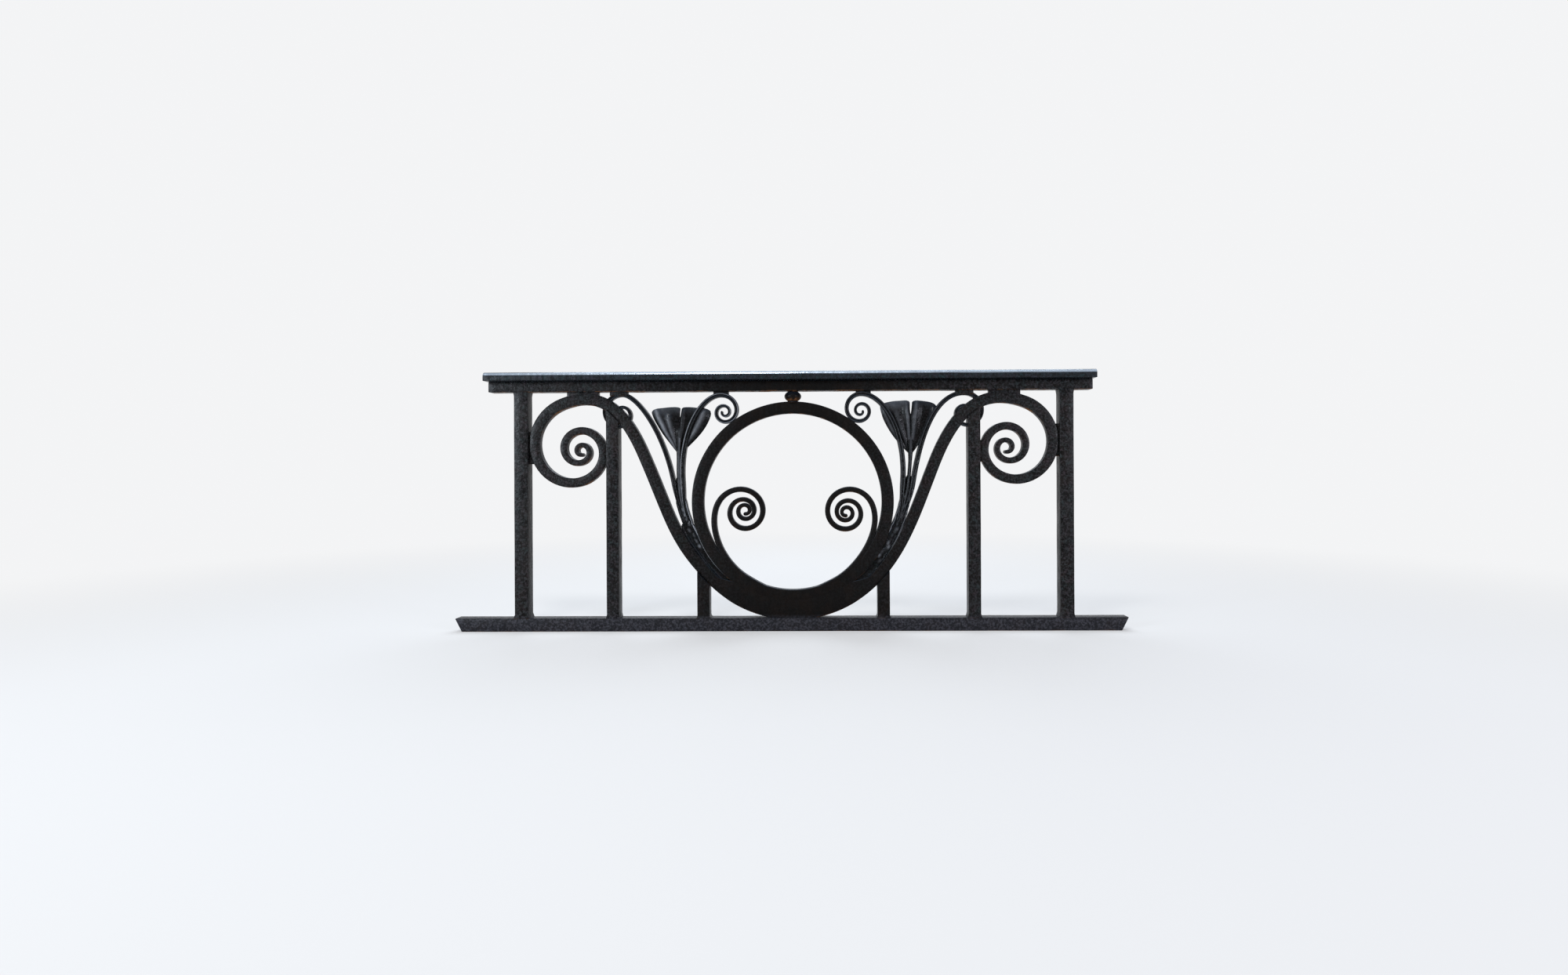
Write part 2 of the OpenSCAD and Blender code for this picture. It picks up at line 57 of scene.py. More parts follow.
# ---------------------------------------------------------------- sizes of the panel
CLEAR = 332.5            # between the bottom rail and the top bar
TOP_BAR = 15.0
BOTTOM_RAIL = 19.5
HANDRAIL_THICK = 12.5
HANDRAIL_WIDE = 58.0
BAR_DEEP = 20.0
SCROLL_DEEP = 12.5
RING = 147.0
RING_BAND = 17.5
RING_UP = 170.0
CRADLE_BAND = 26.5
SCROLL_BAND = 16.8
LEFT_END, RIGHT_END = -447.0, 437.5
REACH = 51.0             # the bottom rail runs further than the handrail
SPLAY = 9.75
MID_IN, MID_OUT = 256.0, 274.0
END_IN, END_OUT = 389.5, 409.5
SHORT_IN, SHORT_OUT = 123.0, 141.0
VOLUTE_RADIUS = 70.0
VOLUTE_OUT = 37.0        # from the middle post to the volute's eye
VOLUTE_DROP = 5.0        # between the top bar and the volute
RING_VOLUTE_RADIUS = 39.4
RING_VOLUTE_IN = 56.0    # from the ring's inner edge to the small volute's eye
RING_VOLUTE_DROP = 14.0
INNER_CURL, OUTER_CURL = 23.0, 27.0
CURL_DROP = 31.0         # from the top bar to the curls' eyes
FLOWER_TALL = 74.0
FLOWER_OUT = 23.5        # from the ring to the flower's root
FLOWER_DROP = 17.5       # from the top bar to the rims
STALK_WIDE = 16.0
TAKES_OVER = 0.15        # quarter turns into a spiral at which the bend before it ends
ORIGIN_UP = CLEAR + TOP_BAR + HANDRAIL_THICK / 2
RING_CENTRE = Vector((0, RING_UP))


def place(u, z, side=1):
    """Panel millimetres to the frame's metres."""
    return (side * u - LEFT_END) / 1000, (z - ORIGIN_UP) / 1000


def hand(pair, side):
    """The two sides were finished by hand and differ: (left, right)."""
    return pair[0 if side < 0 else 1]


def smooth(t):
    """Eases from 0 to 1 while t goes from 0 to 1."""
    t = min(1.0, max(0.0, t))
    return t * t * (3 - 2 * t)


# ---------------------------------------------------------------- curves of the panel
def aim(angle):
    """A step of one in a direction."""
    return Vector((math.cos(angle), math.sin(angle)))


def bend(a, a_dir, d, d_dir, pull, band_a, band_d, count):
    """A bend between two points that keeps its direction at both ends."""
    a, d = Vector(a), Vector(d)
    reach = (d - a).length
    b = a + pull[0] * reach * aim(math.radians(a_dir))
    c = d - pull[1] * reach * aim(math.radians(d_dir))
    points = []
    for i in range(count + 1):
        t = i / count
        p = ((1 - t) ** 3 * a + 3 * (1 - t) ** 2 * t * b + 3 * (1 - t) * t * t * c + t ** 3 * d)
        points.append((p.x, p.y, band_a + (band_d - band_a) * t))
    return points


class Spiral:
    """A leaning spiral that closes from quarter turn to quarter turn."""

    def __init__(self, eye, radius, close, lean, start, way):
        self.eye, self.radius, self.close = Vector(eye), radius, close
        self.lean, self.start, self.way = Vector(lean), math.radians(start), way

    def point(self, n):
        reach = self.radius * math.exp(-self.close[0] * n - self.close[1] * n * n)
        return self.eye + reach * (aim(self.start + self.way * QUARTER * n) + self.lean)

    def slope(self, n):
        d = self.point(n + 0.01) - self.point(n - 0.01)
        return math.degrees(math.atan2(d.y, d.x))

    def path(self, n0, n1, band_0, band_1, a_quarter=14):
        count = round((n1 - n0) * a_quarter)
        points = []
        for i in range(count + 1):
            p = self.point(n0 + (n1 - n0) * i / count)
            points.append((p.x, p.y, band_0 * (band_1 / band_0) ** (i / count)))
        return points


def volute(side):
    """The large spiral beside the end post."""
    radius = VOLUTE_RADIUS + hand((1.6, -1.4), side)
    lean = hand(((0.185, 0.04), (0.203, 0.04)), side)
    eye = Vector((MID_OUT + VOLUTE_OUT,
                  CLEAR - VOLUTE_DROP - SCROLL_BAND / 2 - radius * (1 + lean[1])))
    return Spiral(eye + Vector(hand(((-0.4, 0.0), (0.4, -0.4)), side)), radius,
                  hand(((0.19, 0.0081), (0.17, 0.0072)), side), lean, 90, -1)


def ring_volute_curve(side):
    """The small spiral inside the ring."""
    eye = Vector((RING - RING_BAND - RING_VOLUTE_IN, RING_UP - RING_VOLUTE_DROP))
    return Spiral(eye + Vector(hand(((-3.6, 2), (3.5, -2.5)), side)),
                  RING_VOLUTE_RADIUS + hand((0.5, -0.6), side),
                  hand(((0.154, 0.0027), (0.14, 0.0047)), side),
                  hand(((0.14, -0.113), (0.084, 0.011)), side), 0, 1)


def inner_curl(side):
    """The curl that rests on the ring's shoulder."""
    z = CLEAR - CURL_DROP
    u = math.sqrt((RING + 18) ** 2 - (z - RING_UP) ** 2)
    return Spiral((u, z), INNER_CURL + hand((0.5, -0.4), side),
                  hand(((0.224, 0.0027), (0.119, 0.0219)), side),
                  hand(((0.104, 0.083), (-0.033, 0.176)), side), 90, 1)


def outer_curl():
    """The curl behind the shoulder of the big scroll."""
    return Spiral((MID_OUT - 19, CLEAR - CURL_DROP), OUTER_CURL, (0.02, 0.07), (-0.1, 0), 90, -1)


def flower_tall(side):
    return FLOWER_TALL + hand((-5, 5), side)


def flower_root(side):
    return Vector((RING + FLOWER_OUT + hand((-2.5, 2.5), side),
                   CLEAR - FLOWER_DROP + hand((-4, 4), side) - flower_tall(side)))


def big_scroll_path(side):
    """From under the ring, round the cradle, up the S bend and into the volute's eye."""
    outside = RING + CRADLE_BAND
    points = []
    # the band is drawn a little into the ring, so that the two are one casting
    for i in range(-1, 19):
        a = -90 + 45 * i / 18
        width = CRADLE_BAND + (SCROLL_BAND - CRADLE_BAND) * max(0, (a + 56) / 11)
        sunk = 5 * min(1, max(0, (-47 - a) / 14))
        p = RING_CENTRE + (outside - (width + sunk) / 2) * aim(math.radians(a))
        points.append((p.x, p.y, width + sunk))
    foot = RING_CENTRE + (outside - SCROLL_BAND / 2) * aim(math.radians(-45))
    waist = (RING + hand((65.8, 59.2), side), CLEAR - 109.7)
    slope = hand((67.2, 68.7), side)
    curl = volute(side)
    points += bend(foot, 45, waist, slope, hand(((0.418, 0.439), (0.328, 0.38)), side),
                   SCROLL_BAND, SCROLL_BAND, 26)[1:]
    points += bend(waist, slope, curl.point(TAKES_OVER), curl.slope(TAKES_OVER),
                   hand(((0.335, 0.527), (0.392, 0.491)), side),
                   SCROLL_BAND, SCROLL_BAND, 26)[1:]
    return points + curl.path(TAKES_OVER, 10, SCROLL_BAND, 5.6)[1:]


def ring_volute_path(side):
    """A small volute, from where it parts from the ring's inner edge to its eye."""
    curl = ring_volute_curve(side)
    root = hand((-59, -63), side)
    stout, radius = 8, RING - RING_BAND + 2
    foot = RING_CENTRE + radius * aim(math.radians(root))
    rise = bend(foot, root + 90, curl.point(TAKES_OVER), curl.slope(TAKES_OVER),
                hand(((0.38, 0.31), (0.295, 0.347)), side), stout, stout, 24)
    # its root comes out of the ring's inner edge little by little
    lead = []
    for i in range(12):
        hidden = 5.6 * (1 - smooth(i / 12))
        at = RING_CENTRE + (radius + hidden / 2) * aim(math.radians(root - 30 + 2.5 * i))
        lead.append((at.x, at.y, stout - hidden))
    return lead + rise + curl.path(TAKES_OVER, 11, 8.2, 5.3)[1:]


def tendril_path(side, inner):
    """A tendril from its root in the bundle, up its stem and round its curl."""
    if inner:
        foot, slope = (hand((-5.4, -12), side), -45), hand((85.9, 85.2), side)
        pull, curl, start = hand(((0.528, 0.21), (0.506, 0.234)), side), inner_curl(side), -0.1
    else:
        foot, slope = (hand((7.6, 2.7), side), -45), hand((79.8, 81.1), side)
        pull, curl, start = hand(((0.484, 0.159), (0.501, 0.271)), side), outer_curl(), 0
    stout = 7.4 if inner or side > 0 else 6.3
    foot = flower_root(side) + Vector(foot)
    # below its foot the tendril runs on in the bundle, narrower and lower, till it is lost
    u, z, heading = on_path(stalk_path(side), foot.y - 52)
    root = bend((u + (-2.6 if inner else 3.6), z), heading, foot, slope, (0.35, 0.35), 3.0, stout,
                24)
    root = [station(p, 0.82 + 0.18 * min(1, i / 13)) for i, p in enumerate(root)]
    rise = bend(foot, slope, curl.point(start), curl.slope(start), pull, stout, 6.7, 40)[1:]
    coil = curl.path(start, 7, 6.7, 3.6)[1:]
    # the outer curl crosses the big scroll, and stays inside its thickness there
    low = 1.0 if inner else 0.84
    rise = [station(p, 1 + (low - 1) * max(0, (i - 24) / 15)) for i, p in enumerate(rise)]
    return root + rise + [station(p, low) for p in coil]


def on_path(path, z):
    """Where a path that runs down passes a height, and the direction back up it there."""
    for (u0, z0, *_), (u1, z1, *_) in zip(path, path[1:]):
        if z0 >= z > z1:
            t = (z0 - z) / (z0 - z1)
            return u0 + (u1 - u0) * t, z, math.degrees(math.atan2(z0 - z1, u0 - u1))
    raise ValueError("the path doesn't pass that height")


def stalk_path(side):
    """The middle line of the stem and the bundle, from inside the petals to under the ring."""
    top = flower_root(side) + Vector((0, 26))
    beside = (RING + hand((16.7, 15.7), side), RING_UP - 5)
    tip = RING_CENTRE + (RING + RING_BAND / 4) * aim(math.radians(-51))
    return (bend(top, -90, beside, -103, (0.5, 0.3), 5.2, STALK_WIDE, 90)
            + bend(beside, -103, tip, -141, (0.3, 0.3), STALK_WIDE, STALK_WIDE, 70)[1:])


def stem_path(side):
    """The flower's own stem: narrow in the petals, stout at their root, lost in the bundle."""
    root = flower_root(side).y
    slim, stout = hand((6.4, 5.2), side), 7.6
    points = []
    for u, z, _ in stalk_path(side):
        up = z - root
        if up > 6:
            wide = stout + 2.4 * (up - 6) / 20
        else:
            wide = slim + (stout - slim) * max(0, (up + 14) / 20) ** 1.5
        sunk = max(0, (-up - 60) / 40)
        if sunk > 1:
            break
        points.append((u, z, wide * (1 - 0.5 * sunk), min(1, 0.04 + (30 - up) / 28) - 0.2 * sunk))
    return points


def bundle_path(side):
    """The bundle below the place where the stem and the tendrils meet."""
    start = flower_root(side).y - hand((31, 29), side)
    points = [p for p in stalk_path(side) if p[1] < start]
    path = []
    for i, (u, z, wide) in enumerate(points):
        # it widens from the stem, and lies down between the ring and the scroll at its end
        share = (0.72 + 0.28 * min(1, i / 34)) * min(1, 0.3 + i / 8)
        broad = 1 + hand((0.06, 0.3), side) * min(1, max(0, (140 - z) / 50))
        low = min(1, max(0, (98 - z) / 24))
        if side < 0:
            # on the left it is slimmer, and then spreads until it touches the scroll
            broad -= 0.06 * min(1, max(0, (168 - z) / 14))
            web = 4.0 * smooth((140 - z) / 6) * (1 - smooth((132 - z) / 40))
            u, wide = u + web / 2, wide + web
        path.append((u, z, wide * share * broad, (0.6 + 0.4 * min(1, i / 24)) * (1 - 0.1 * low)))
    return path


# ---------------------------------------------------------------- working by hand
def lay_down():
    """Nothing stays selected, so that an operator only acts on the new piece."""
    if bpy.context.object and bpy.context.object.mode != "OBJECT":
        bpy.ops.object.mode_set(mode="OBJECT")
    bpy.ops.object.select_all(action="DESELECT")


def take(piece):
    """This piece alone is selected and worked on."""
    lay_down()
    piece.select_set(True)
    bpy.context.view_layer.objects.active = piece


def settle(piece):
    """The place of a piece goes into its mesh."""
    take(piece)
    bpy.ops.object.transform_apply(location=True, rotation=True, scale=True)


def edit_all(piece):
    """A piece is opened with all of it selected."""
    take(piece)
    bpy.ops.object.mode_set(mode="EDIT")
    bpy.ops.mesh.select_all(action="SELECT")


def close():
    bpy.ops.object.mode_set(mode="OBJECT")


def face_outwards(piece):
    edit_all(piece)
    bpy.ops.mesh.normals_make_consistent(inside=False)
    close()


def cut_off(piece, at, out):
    """Takes away what lies beyond a plane, and fills the cut."""
    edit_all(piece)
    bpy.ops.mesh.bisect(plane_co=at, plane_no=out, use_fill=True, clear_outer=True)
    close()


def apply_all(piece):
    """The modifiers of a piece go into its mesh."""
    take(piece)
    for modifier in list(piece.modifiers):
        bpy.ops.object.modifier_apply(modifier=modifier.name)


def select_where(piece, kind, test):
    """Opens a piece with those of its points or edges selected for which the test holds."""
    take(piece)
    mesh = piece.data
    bpy.ops.object.mode_set(mode="EDIT")
    bpy.ops.mesh.select_mode(type={"edges": "EDGE", "points": "VERT"}[kind])
    bpy.ops.mesh.select_all(action="DESELECT")
    close()
    if kind == "edges":
        for e in mesh.edges:
            a, b = (mesh.vertices[i].co for i in e.vertices)
            e.select = test(a, b)
    else:
        for v in mesh.vertices:
            v.select = test(v.co)
    bpy.ops.object.mode_set(mode="EDIT")


def soften(piece, angle=35):
    """Shades a piece smooth, but not over its sharper edges."""
    take(piece)
    bpy.ops.object.shade_smooth_by_angle(angle=math.radians(angle))


def cast_skin(piece, depth, size):
    """The slow waves that a sand mould leaves in a surface."""
    low, high = cad_box
    for v in piece.data.vertices:
        v.co += noise.noise_vector(v.co * (1000 / size)) * depth / 1000
        for axis in range(3):
            v.co[axis] = min(max(v.co[axis], low[axis]), high[axis])


def bar(name, u0, u1, z0, z1, deep, edge, cuts=0, splay=0):
    """A straight bar with rounded edges. splay is what its underside is short by at each end."""
    x0, low = place(u0, z0)
    x1, high = place(u1, z1)
    lay_down()
    bpy.ops.mesh.primitive_cube_add(size=1, location=((x0 + x1) / 2, 0, (low + high) / 2),
                                    scale=(x1 - x0, deep / 1000, high - low))
    piece = bpy.context.object
    piece.name = name
    settle(piece)
    if splay:
        for x, way in ((x0, 1), (x1, -1)):
            select_where(piece, "points", lambda p: abs(p.x - x) < 1e-4 and p.z < (low + high) / 2)
            bpy.ops.transform.translate(value=(way * splay / 1000, 0, 0))
            close()
    rounding = piece.modifiers.new("rounded edges", "BEVEL")
    rounding.width, rounding.segments = edge / 1000, 3
    apply_all(piece)
    if cuts:
        along = 0 if x1 - x0 > high - low else 2
        other = 2 - along
        half = 0.5 * max(x1 - x0, high - low)
        select_where(piece, "edges", lambda a, b: abs(a[along] - b[along]) > half
                     and abs(a[other] - b[other]) < 0.02)
        bpy.ops.mesh.subdivide(number_cuts=cuts)
        close()
    return piece


def station(point, deep=1.0):
    """A point of a path with the share of its depth."""
    return (*point[:3], deep)


def band_section(deep, across_round, deep_round, crown):
    """Half of a band's section, as shares of its width and as millimetres of depth."""
    half = deep / 2
    front = []
    for k in range(4):
        a = QUARTER * k / 3
        front.append((-0.505 + across_round * (1 - math.cos(a)),
                      half - deep_round + deep_round * math.sin(a)))
    front.append((-0.2, half + crown * 0.8))
    front.append((0.0, half + crown))
    return front + [(-a, d) for a, d in reversed(front[:-1])]


def mark(piece, values):
    """Keeps on a piece, for each of its points, how bright a painted highlight it carries."""
    layer = piece.data.attributes.new("crest", "FLOAT", "POINT")
    for i, value in enumerate(values):
        layer.data[i].value = value


def beside_path(path, side):
    """Tells for a point which station it lies at, how far along, and its share across."""
    gone = [0.0]
    for (u0, z0, *_), (u1, z1, *_) in zip(path, path[1:]):
        gone.append(gone[-1] + math.hypot(u1 - u0, z1 - z0))
    middle = [Vector((place(u, 0, side)[0], place(0, z)[1])) for u, z, *_ in path]

    def find(co):
        here = Vector((co.x, co.z))
        k = min(range(len(path)), key=lambda j: (middle[j] - here).length_squared)
        line = (middle[min(k + 1, len(middle) - 1)] - middle[max(k - 1, 0)]).normalized()
        off = here - middle[k]
        return k, gone[k], (line.x * off.y - line.y * off.x) * 1000 / path[k][2]

    return find


def paint_edge_highlight(piece, path, side, edge, high, low, bright):
    """Paints a highlight along one edge of a band between two heights, on its front and its back.
    """
    find = beside_path(path, side)
    shine = [0.0] * len(piece.data.vertices)
    top, foot = place(0, high)[1], place(0, low)[1]
    for i, v in enumerate(piece.data.vertices):
        if foot < v.co.z < top and abs(v.co.y) > 0.0045:
            k, _, across = find(v.co)
            if edge * across > 0.465 and 0 < k < len(path) - 1:
                fade = min(1, (top - v.co.z) / 0.008) * min(1, (v.co.z - foot) / 0.02)
                shine[i] = bright * fade
    mark(piece, shine)


def sweep(name, half_section, path, side, closed=False, inset=0.0, rib_highlights=None,
          round_end=True):
    """A band drawn out of its section, from one station of its path to the next. Its ribs
    can carry a painted highlight, one brightness for each of the two halves of its face."""
    section = [(a, -d) for a, d in half_section] + [(a, d) for a, d in reversed(half_section)]
    stations = [p if len(p) > 3 else station(p) for p in path]
    if round_end and not closed:
        (ax, az, _, _), (bx, bz, wide, deep) = stations[-2:]
        forward = Vector((bx - ax, bz - az)).normalized()
        # the end is rounded off in five steps
        for k in range(1, 6):
            a = math.radians(16 * k)
            p = Vector((bx, bz)) + forward * (wide / 2) * math.sin(a)
            stations.append((p.x, p.y, wide * math.cos(a), deep))
    at = [Vector(place(u, z, side)) for u, z, _, _ in stations]
    count = len(at)
    turn = []
    for i in range(count):
        before = i - 1 if i else (count - 2 if closed else 0)
        after = i + 1 if i < count - 1 else (1 if closed else i)
        line = at[after] - at[before]
        turn.append(math.atan2(line.y, line.x))
    lay_down()
    bpy.ops.mesh.primitive_circle_add(vertices=len(section), radius=0.01)
    piece = bpy.context.object
    piece.name = name
    normal = Vector((-math.sin(turn[0]), math.cos(turn[0])))
    wide, deep = stations[0][2] / 1000, stations[0][3] / 1000
    for v, (across, out) in zip(piece.data.vertices, section):
        sunk = inset if out < 0 else -inset
        v.co = (at[0].x + normal.x * across * wide, deep * (out + sunk),
                at[0].y + normal.y * across * wide)
    settle(piece)
    # a painted highlight along the tops of the ribs
    if rib_highlights:
        top = max(d for _, d in half_section)
        mark(piece, [max(0.0, 1 - (top - abs(out)) / 0.3) * rib_highlights[across > 0]
                     for across, out in section])
    edit_all(piece)
    if not closed:
        bpy.ops.mesh.edge_face_add()
    # the section is drawn on, turned and resized from station to station
    for i in range(1, count):
        here, step = at[i], at[i] - at[i - 1]
        swing = (turn[i] - turn[i - 1] + math.pi) % (2 * math.pi) - math.pi
        wider = stations[i][2] / stations[i - 1][2]
        deeper = stations[i][3] / stations[i - 1][3]
        bpy.ops.mesh.extrude_region_move(
            TRANSFORM_OT_translate={"value": (step.x, 0, step.y)})
        bpy.ops.transform.rotate(value=swing, orient_axis="Y",
                                 center_override=(here.x, 0, here.y))
        if abs(wider - 1) > 1e-6 or abs(deeper - 1) > 1e-6:
            bpy.ops.transform.resize(value=(wider, deeper, wider),
                                     center_override=(here.x, 0, here.y))
    if closed:
        # its two ends lie on each other, and are welded
        bpy.ops.mesh.select_all(action="SELECT")
        bpy.ops.mesh.remove_doubles(threshold=5e-5)
    close()
    face_outwards(piece)
    soften(piece)
    return piece


pieces = []


def finish(piece, node, slot, skin=0.12, size=45.0):
    """The piece stands for its node, and rides on the panel."""
    cast_skin(piece, skin, size)
    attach(piece, "root")
    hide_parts(node)
    pieces.append((piece, slot))


# ---------------------------------------------------------------- rails and posts
def make_rails():
    # the handrail's section: square below, and rolled over at both upper edges
    edge, roll = 0.8, 6.4
    half, thick = HANDRAIL_WIDE / 2, HANDRAIL_THICK
    section = []
    for k in range(3, -1, -1):
        a = QUARTER * k / 3
        section.append((-0.5 + edge * (1 - math.sin(a)) / thick, half - edge * (1 - math.cos(a))))
    for k in range(11):
        a = QUARTER * k / 10
        section.append((0.5 - roll * (1 - math.sin(a)) / thick, half - roll * (1 - math.cos(a))))
    section += [(0.5, half - 12), (0.5, 4.0)]
    line = [(LEFT_END + (RIGHT_END - LEFT_END) * i / 150, ORIGIN_UP, HANDRAIL_THICK)
            for i in range(151)]
    handrail = sweep("handrail_moulding", section, line, 1, round_end=False)
    finish(handrail, "handrail", "handrail_iron", 0.22, 60)

    top_bar = bar("top_bar_casting", LEFT_END, RIGHT_END, CLEAR, CLEAR + TOP_BAR, BAR_DEEP,
                  1.0, cuts=150)
    soften(top_bar)
    finish(top_bar, "top_bar", "panel_iron", 0.16)

    bottom = bar("bottom_rail_casting", LEFT_END - REACH, RIGHT_END + REACH, -BOTTOM_RAIL, 0,
                 BAR_DEEP, 1.2, cuts=170, splay=SPLAY)
    soften(bottom)
    finish(bottom, "bottom_rail", "panel_iron", 0.18)


def flare(piece, base, up, reach, high):
    """Spreads the foot of a post in a small fillet where it is cast on to its rail."""
    middle = sum((v.co.x for v in piece.data.vertices), 0) / len(piece.data.vertices)
    for v in piece.data.vertices:
        away = (v.co.z - base) * up * 1000
        if away < high:
            grow = reach * (1 - max(away, 0) / high) ** 2 / 1000
            v.co.x += grow if v.co.x > middle else -grow


def post(node, side, inner, outer, cut=None, foot=1.6):
    """A square post. cut is the point and the slope of the scroll that it carries."""
    u0, u1 = (inner, outer) if side > 0 else (-outer, -inner)
    tall = CLEAR + 0.8 if cut is None else cut[1] + 14
    piece = bar(node + "_casting", u0, u1, -0.8, tall, BAR_DEEP + 0.1, 1.0, cuts=60)
    if cut is not None:
        x, z = place(cut[0], cut[1], side)
        slope = math.radians(cut[2])
        cut_off(piece, (x, 0, z), (-math.sin(slope) * side, 0, math.cos(slope)))
    flare(piece, place(0, 0)[1], 1, foot, 4.0)
    if cut is None:
        flare(piece, place(0, CLEAR)[1], -1, 1.2, 3.0)
    soften(piece)
    finish(piece, node, "panel_iron", 0.14, 40)


def underside(side, at):
    """Height and slope of the big scroll's lower edge above a distance from the ring."""
    path = big_scroll_path(side)
    edge = []
    for (u0, z0, _), (u, z, wide), (u1, z1, _) in zip(path, path[1:], path[2:]):
        d = Vector((u1 - u0, z1 - z0)).normalized()
        edge.append((u + d.y * wide / 2, z - d.x * wide / 2))
        if edge[-1][0] >= at:
            break
    (u0, z0), (u1, z1) = edge[-2:]
    t = (at - u0) / (u1 - u0)
    return z0 + (z1 - z0) * t, math.degrees(math.atan2(z1 - z0, u1 - u0))


def make_posts():
    for word, side in SIDES:
        post(word + "_end_post", side, END_IN, END_OUT, foot=hand((2.4, 1.6), side))
        for part, inner, outer in (("_middle_post", MID_IN, MID_OUT),
                                   ("_short_post", SHORT_IN, SHORT_OUT)):
            at = (inner + outer) / 2
            z, slope = underside(side, at)
            post(word + part, side, inner, outer, cut=(at, z + 0.6, slope))


# ---------------------------------------------------------------- ring and scrolls
def make_scrolls():
    flat_band = band_section(SCROLL_DEEP - 0.7, 0.065, 1.2, 0.5)
    slim_band = band_section(SCROLL_DEEP - 0.7, 0.15, 1.4, 0.45)
    # the ring came out of its mould a little broader than high; it starts inside the cradle
    middle = RING - RING_BAND / 2
    round_ring = []
    for k in range(181):
        a = math.radians(2 * k - 90)
        round_ring.append(((middle + 1.4) * math.cos(a) - 0.7, RING_UP + middle * math.sin(a),
                           RING_BAND))
    ring = sweep("centre_ring_casting", flat_band, round_ring, 1, closed=True)
    # a painted highlight lies along its outer edge where it runs down beside the left flower's
    # bundle
    paint_edge_highlight(ring, round_ring[135:168], 1, -1, 136, 62, 0.6)
    finish(ring, "centre_ring", "panel_iron")
    for word, side in SIDES:
        path = big_scroll_path(side)
        scroll = sweep(word + "_big_scroll_casting", flat_band, path, side,
                       inset=hand((-0.08, -0.12), side))
        cut_off(scroll, (0, 0, place(0, 0)[1]), (0, 0, -1))
        soften(scroll)
        if side > 0:
            # a painted highlight along one edge of the right scroll, where it runs beside the
            # flower's bundle
            paint_edge_highlight(scroll, path[18:46], side, 1, 134, 92, 0.3)
        finish(scroll, word + "_big_scroll", "panel_iron")
        small = sweep(word + "_ring_volute_casting", slim_band, ring_volute_path(side), side,
                      inset=0.3)
        finish(small, word + "_ring_volute", "panel_iron", 0.08, 30)


def lathe(name, profile, at):
    """A turned shape, from the bottom of its profile to the top: (radius, height)."""
    x, z = place(*at)
    lay_down()
    bpy.ops.mesh.primitive_circle_add(vertices=56, radius=profile[0][0] / 1000,
                                      location=(x, 0, z + profile[0][1] / 1000),
                                      fill_type="NGON")
    piece = bpy.context.object
    piece.name = name
    settle(piece)
    edit_all(piece)
    for (r0, h0), (r1, h1) in zip(profile, profile[1:]):
        bpy.ops.mesh.extrude_region_move(
            TRANSFORM_OT_translate={"value": (0, 0, (h1 - h0) / 1000)})
        bpy.ops.transform.resize(value=(r1 / r0, r1 / r0, 1),
                                 center_override=(x, 0, z + h1 / 1000))
    close()
    face_outwards(piece)
    soften(piece, 40)
    return piece


def make_boss():
    """The ball between the ring and the top bar, with a small neck at each side."""
    gap, widest, half_high, neck = 15.5, 12.4, 8.3 * 0.82, math.radians(54)
    profile = [(9.6, -1.5), (9.2, -0.2), (8.0, 0.4)]
    for k in range(13):
        a = neck * (k - 6) / 6
        profile.append((widest * math.cos(a), gap / 2 + half_high * math.sin(a) / math.sin(neck)))
    profile += [(8.0, gap - 0.4), (9.2, gap + 0.2), (9.6, gap + 1.5)]
    finish(lathe("ring_boss_ball", profile, (0, RING_UP + RING)), "ring_boss", "panel_iron",
           0.1, 12)


# ---------------------------------------------------------------- tendrils and flowers
def make_tendrils():
    double = [(-0.5, 3.6), (-0.5, 4.5), (-0.46, 5.2), (-0.38, 5.8), (-0.28, 6.0), (-0.17, 5.7),
              (-0.08, 5.1), (0.0, 4.8)]
    rod = [(-0.5, 2.0), (-0.48, 3.6), (-0.4, 4.9), (-0.28, 5.7), (-0.12, 6.15), (0.0, 6.25)]
    rim = [(-0.5, 4.2), (-0.49, 4.9), (-0.46, 5.4), (-0.42, 5.6), (-0.38, 5.3), (-0.34, 4.6),
           (-0.3, 4.2)]
    bundle = rim + [(0.05 * k, 6.1 - 0.3 * abs(k) / 5) for k in range(-5, 1)]
    double, rod, bundle = (half + [(-a, d) for a, d in half[-2::-1]]
                           for half in (double, rod, bundle))
    for word, side in SIDES:
        # the stem, the bundle and the tendrils carry painted highlights on their ribs
        stem = sweep(word + "_flower_stem_casting", rod, stem_path(side), side, inset=0.35,
                     rib_highlights=hand(((0.15, 0.4), (0.1, 0.15)), side))
        finish(stem, word + "_flower_stalk", "flower_iron", 0.1, 14)
        path = bundle_path(side)
        stalk = sweep(word + "_flower_stalk_casting", bundle, path, side, inset=0.25,
                      rib_highlights=(0.1, 0.1))
        bead(stalk, path, side)
        finish(stalk, word + "_flower_stalk", "flower_iron", hand((0.35, 0.8), side), 6)
        for part, inner in (("_inner_tendril", True), ("_outer_tendril", False)):
            shine = hand(((0.05, 0.6), (0.12, 0.16)), side) if inner else (0.06, 0.12)
            tendril = sweep(word + part + "_casting", double, tendril_path(side, inner), side,
                            inset=-0.25, rib_highlights=shine)
            finish(tendril, word + part, "flower_iron", 0.08, 20)


